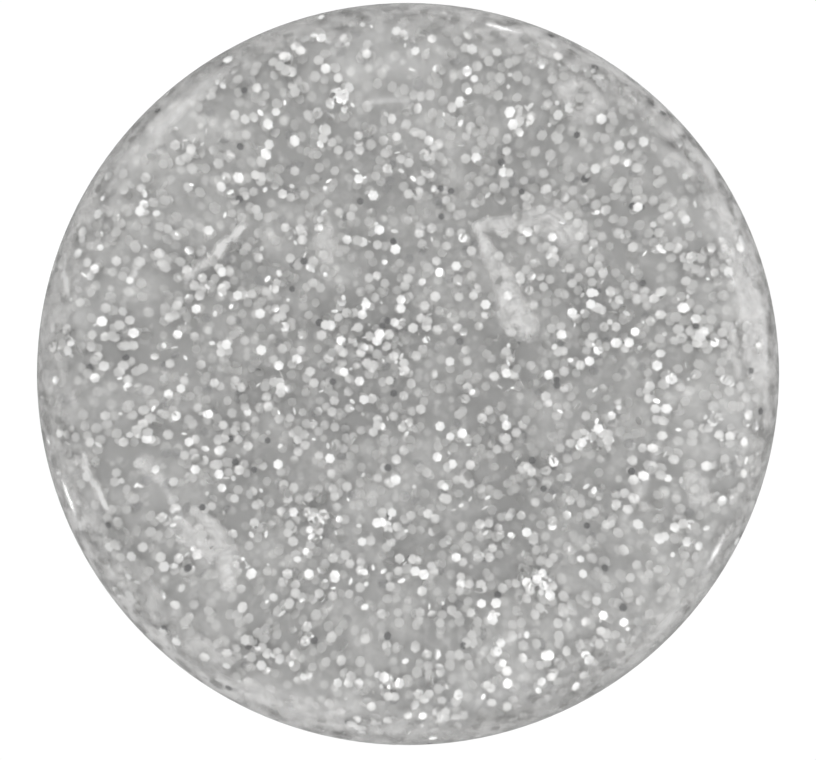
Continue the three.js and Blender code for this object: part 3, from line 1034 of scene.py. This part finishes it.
ROOF_BOTTOM = FLANGE_TOP + 0.05
ROOF_TOP = ROOF_BOTTOM + 1.4
CAP_BORE = THREAD_RADIUS + 0.3
INNER_CAP_RADIUS = SPLINE_RADIUS - 0.35
SOCKET_RADIUS = PLUG_RADIUS + 0.3
SOCKET_OUTER = SOCKET_RADIUS + 1.3
SPLINES = 12
SPLINE_HALF_WIDTH = 0.5
CAP_WALL = 1.1
CAP_TOP_RADIUS = 8.7
CAP_RIM = 0.5
RING_SEAT = CAP_RADIUS - 0.6
CEILING = CAP_TOP - 2.8
FIN_SPACING = TURN / 6
FIN_OFFSET = TURN / 24


def inner_cap_shape(radius, height, angle):
    """Stands the thread on the bore of the inner cap, and the splines on its outside."""
    if abs(radius - CAP_BORE) < 1e-6 and INNER_CAP_BOTTOM < height < ROOF_BOTTOM:
        start = NECK_THREAD_START + PITCH / 2
        up = ridge_height(height, angle, start, CAP_THREAD_TURNS, 0.55, 0.18)
        return radius - (CAP_BORE - NECK_RADIUS - 0.3) * up
    if abs(radius - INNER_CAP_RADIUS) < 1e-6 and INNER_CAP_BOTTOM + 0.4 < height < ROOF_TOP - 0.3:
        spacing = TURN / SPLINES
        off = abs((angle + spacing / 2) % spacing - spacing / 2) * radius
        up = smoothstep(SPLINE_HALF_WIDTH + 0.1, SPLINE_HALF_WIDTH - 0.15, off)
        return radius + (SPLINE_RADIUS - INNER_CAP_RADIUS) * up
    return radius


def make_inner_cap():
    outline = [
        (CAP_BORE, INNER_CAP_BOTTOM),
        (INNER_CAP_RADIUS, INNER_CAP_BOTTOM),
        *line((INNER_CAP_RADIUS, INNER_CAP_BOTTOM + 0.3), (INNER_CAP_RADIUS, ROOF_TOP - 0.2), 40),
        (INNER_CAP_RADIUS, ROOF_TOP),
        (SOCKET_OUTER, ROOF_TOP),
        (SOCKET_OUTER, SOCKET_TOP),
        (SOCKET_RADIUS, SOCKET_TOP),
        *arc((SOCKET_RADIUS, SNAP_HEIGHT), SNAP_RADIUS, 90, -90),
        (SOCKET_RADIUS, ROOF_BOTTOM),
        *line((CAP_BORE, ROOF_BOTTOM), (CAP_BORE, INNER_CAP_BOTTOM), 100),
    ]
    inner = turned("inner_cap_shell", softened(outline, 0.12), inner_cap_shape, segments=240)
    plastic = moulded_plastic("inner_cap_black", (0.030, 0.030, 0.032), 0.45)
    place(inner, "cap", "inner_cap", plastic)


def cap_radius_at(height):
    """The outside of the overcap tapers a little towards its top."""
    share = (height - CAP_BOTTOM) / (CAP_TOP - CAP_BOTTOM)
    return CAP_RADIUS + (CAP_TOP_RADIUS - CAP_RADIUS) * share


def radial_plate(inner, outer, bottom, top, thickness, angle):
    """The corners and faces of a plate that stands along a radius."""
    corners = []
    for radius in (inner, outer):
        for height in (bottom, top):
            for side in (-thickness / 2, thickness / 2):
                x = radius * math.cos(angle) - side * math.sin(angle)
                y = radius * math.sin(angle) + side * math.cos(angle)
                corners.append((x, y, height))
    return corners, ((0, 1, 3, 2), (4, 6, 7, 5), (0, 4, 5, 1), (2, 3, 7, 6), (0, 2, 6, 4), (1, 5, 7, 3))


def make_ribs(material):
    """The keys and fins inside the overcap that hold the inner cap."""
    vertices, faces = [], []
    for i in range(6):
        angle = FIN_OFFSET + FIN_SPACING * i
        fin = (SOCKET_OUTER + 0.3, CAP_TOP_RADIUS - CAP_WALL / 2, ROOF_TOP + 0.05, CEILING + 0.4, 0.9, angle)
        key = (INNER_CAP_RADIUS + 0.15, RING_SEAT + 0.05, CAP_BOTTOM + 1.7, ROOF_TOP + 1, 1.0, angle)
        for plate in (fin, key):
            corners, plate_faces = radial_plate(*plate)
            first = len(vertices)
            vertices += corners
            faces += [tuple(first + k for k in face) for face in plate_faces]
    ribs = mesh_object("overcap_ribs", vertices, faces, smooth=False)
    break_edges(ribs, 0.1)
    place(ribs, "cap", "overcap", material)


def make_overcap():
    seat_top = RING_TOP + 0.05
    rim_height = CAP_TOP - CAP_RIM
    disc_seat, disc_floor = DISC_RADIUS + 0.15, DISC_BOTTOM - 0.05
    outline = [
        (0, CEILING),
        (cap_radius_at(CEILING) - CAP_WALL, CEILING),
        (CAP_RADIUS - CAP_WALL, CAP_BOTTOM),
        (RING_SEAT, CAP_BOTTOM),
        (RING_SEAT, seat_top),
        (cap_radius_at(seat_top), seat_top),
        (cap_radius_at(rim_height), rim_height),
        *arc((CAP_TOP_RADIUS - CAP_RIM, rim_height), CAP_RIM, 0, 90),
        (disc_seat, CAP_TOP),
        (disc_seat, disc_floor),
        (0, disc_floor),
    ]
    overcap = turned("overcap_shell", softened(outline, 0.15))
    material = glossy_black()
    place(overcap, "cap", "overcap", material)
    make_ribs(material)


def grooved(start, end, across, places, depth, half_width):
    """A straight run of outline with V grooves cut in it, depth deep in the direction across."""
    points = [start]
    span = Vector(end) - Vector(start)
    for share in places:
        middle = Vector(start) + span * share
        for along, deep in ((-half_width, 0), (0, depth), (half_width, 0)):
            points.append(tuple(middle + span.normalized() * along + Vector(across) * deep))
    return points + [end]


def make_trim():
    ring_inner = RING_RADIUS - 0.45
    ring = [
        (ring_inner, RING_BOTTOM),
        *grooved((RING_RADIUS, RING_BOTTOM), (RING_RADIUS, RING_TOP), (-1, 0), (0.2, 0.8), 0.09, 0.08),
        (ring_inner, RING_TOP),
        (ring_inner, RING_BOTTOM),
    ]
    band = turned("trim_band", softened(ring, 0.1))
    material = bright_silver("silver_band", (250, 250, 9000), 0.18)
    place(band, "cap", "trim_ring", material)
    disc = [
        (0, DISC_BOTTOM),
        (DISC_RADIUS, DISC_BOTTOM),
        *grooved((DISC_RADIUS, DISC_TOP), (0.05, DISC_TOP), (0, -1), (0.13, 0.20), 0.08, 0.07),
        (0, DISC_TOP),
    ]
    cover = turned("cap_disc", softened(disc, 0.14))
    place(cover, "cap", "top_disc", spun_silver())


make_inner_cap()
make_overcap()
make_trim()

# ---- camera, floor and light

# The camera looks straight up at the base, from below.
SENSOR = 36.0
# Shares of the image's width: how much of it the base fills, and how far the base is above the middle
DISC_SHARE = 0.909314
DISC_RAISED = 0.007353
CAMERA_DISTANCE = 0.40


def make_camera():
    data = bpy.data.cameras.new("camera")
    camera = new_object("camera", data)
    seen_width = 2 * BODY_RADIUS * MM / DISC_SHARE
    data.sensor_width = SENSOR
    data.lens = SENSOR * (CAMERA_DISTANCE + HEEL_RADIUS * MM) / seen_width
    data.clip_start = 0.01
    camera.location = (0, DISC_RAISED * seen_width, -CAMERA_DISTANCE)
    camera.rotation_euler = (math.pi, 0, 0)
    scene.camera = camera


FLOOR_HALF_SIZE = 260
FLOOR_STEPS = 26
FLOOR_DROP = 0.02
# It fades out between these distances from the object.
FLOOR_FADE_START = 70
FLOOR_FADE_END = 240


def floor_material():
    """A pale floor that fades out into the backdrop, and is open when seen from below."""
    material, shader = new_material("studio_floor")
    set_values(shader, Base_Color=(0.90, 0.90, 0.90), Roughness=0.6)
    away = vector_math("LENGTH", object_coordinates(shader))
    fade = remap(away, FLOOR_FADE_START * MM, FLOOR_FADE_END * MM, 0.0, 1.0, smooth=True)
    from_below = added(shader, "NewGeometry").outputs["Backfacing"]
    open_where(combine("MAXIMUM", fade, from_below), shader)
    return material


def make_floor():
    places = line((-FLOOR_HALF_SIZE, 0), (FLOOR_HALF_SIZE, 0), FLOOR_STEPS)
    grid = [(x, y, -FLOOR_DROP) for y, _ in places for x, _ in places]
    row = len(places)
    faces = [face for j in range(FLOOR_STEPS) for face in strip((j + 1) * row, j * row, row, closed=False)]
    floor = mesh_object("studio_floor", grid, faces, smooth=False, outwards=False)
    floor.data.materials.append(floor_material())
    for rays in ("diffuse", "glossy", "transmission", "shadow"):
        setattr(floor, f"visible_{rays}", False)
    return floor


# Soft boxes in the surroundings: (azimuth, elevation, half width, half height, strength). Angles are in
# degrees, and sizes are as seen from the object.
SOFT_BOXES = (
    (345, 20, 0.22, 0.34, 2.0),
    (225, 18, 0.12, 0.34, 1.5),
    (100, 20, 0.26, 0.34, 1.2),
    (10, -14, 0.10, 0.40, 1.8),
    (75, -14, 0.16, 0.40, 1.8),
    (190, -14, 0.10, 0.40, 1.8),
    (262, -14, 0.16, 0.40, 1.8),
)
SOFT_EDGE = 0.05
# How bright the backdrop is for the camera, and the studio for everything else, which darkens overhead
BACKDROP = 1.02
SURROUND = 0.84
CEILING_DROP = 0.50
# The studio is uneven below, so that flakes that lean differently shine differently.
UNEVENNESS = 0.66


def towards(azimuth, elevation):
    """The direction of an azimuth and an elevation, in degrees."""
    a, e = math.radians(azimuth), math.radians(elevation)
    return Vector((math.cos(a) * math.cos(e), math.sin(a) * math.cos(e), math.sin(e)))


def soft_box(direction, azimuth, elevation, half_width, half_height, strength):
    """The light of a rectangular soft box, in the directions that it fills."""
    front, side = towards(azimuth, elevation), towards(azimuth + 90, 0)
    lit = remap(vector_math("DOT_PRODUCT", direction, front), 0.0, 0.1, 0.0, strength)
    for axis, half in ((side, half_width), (front.cross(side), half_height)):
        off = combine("ABSOLUTE", vector_math("DOT_PRODUCT", direction, axis), 0)
        inside = remap(off, half - SOFT_EDGE, half + SOFT_EDGE, 1.0, 0.0, smooth=True)
        lit = combine("MULTIPLY", lit, inside)
    return lit


def make_surroundings():
    """White behind the object; for everything else, a grey studio with soft boxes in it."""
    world = bpy.data.worlds.new("studio")
    scene.world = world
    world.use_nodes = True
    tree = world.node_tree
    tree.nodes.clear()
    direction = added(tree, "TexCoord").outputs["Generated"]
    height = vector_math("DOT_PRODUCT", direction, (0, 0, 1))
    low = remap(height, -0.52, -0.28, 1.0, 0.0, smooth=True)
    patches = remap(noise_texture(direction, 3.2, 1.0), 0.38, 0.68, -0.36, 1.0, smooth=True)
    uneven = combine("MULTIPLY", combine("MULTIPLY", low, patches), UNEVENNESS)
    high = remap(height, 0.15, 0.60, 0.0, -CEILING_DROP, smooth=True)
    total = combine("ADD", combine("ADD", uneven, high), SURROUND)
    for box in SOFT_BOXES:
        total = combine("ADD", total, soft_box(direction, *box))
    studio = added(tree, "Background")
    set_values(studio, Strength=total)
    white = added(tree, "Background", (1, 1, 1), BACKDROP)
    seen = added(tree, "LightPath").outputs["Is Camera Ray"]
    both = mixed(seen, studio.outputs["Background"], white.outputs["Background"])
    added(tree, "OutputWorld", both)


def make_sun(name, azimuth, elevation, strength, size):
    """A sun at an azimuth and elevation, that looks size wide, all in degrees."""
    data = bpy.data.lights.new(name, "SUN")
    data.energy = strength
    data.angle = math.radians(size)
    lamp = new_object(name, data)
    lamp.rotation_euler = towards(azimuth, elevation).to_track_quat("Z", "Y").to_euler()
    return lamp


# Small weak lamps that make the flakes glint: (azimuth, elevation), and their strength and size
GLINT_LAMPS = ((20, -79), (150, -72), (265, -66), (70, -56), (200, -50), (30, 30), (160, 42), (285, 36))
GLINT_LAMP = (0.05, 3)
# The lamp of the floor: azimuth, elevation, strength and size
FLOOR_LAMP = (250, 58, 1.5, 14)


def make_lamps(floor):
    for number, place_in_sky in enumerate(GLINT_LAMPS):
        make_sun(f"glint_lamp_{number}", *place_in_sky, *GLINT_LAMP)
    # This one falls on the floor only, past the bottle, which shades it.
    key = make_sun("floor_lamp", *FLOOR_LAMP)
    lit = bpy.data.collections.new("lit_floor")
    lit.objects.link(floor)
    key.light_linking.receiver_collection = lit


make_camera()
studio_floor = make_floor()
make_surroundings()
make_lamps(studio_floor)
scene.view_settings.view_transform = "Standard"
# A ray can pass through many thin flakes, one after another.
scene.cycles.transparent_max_bounces = 32
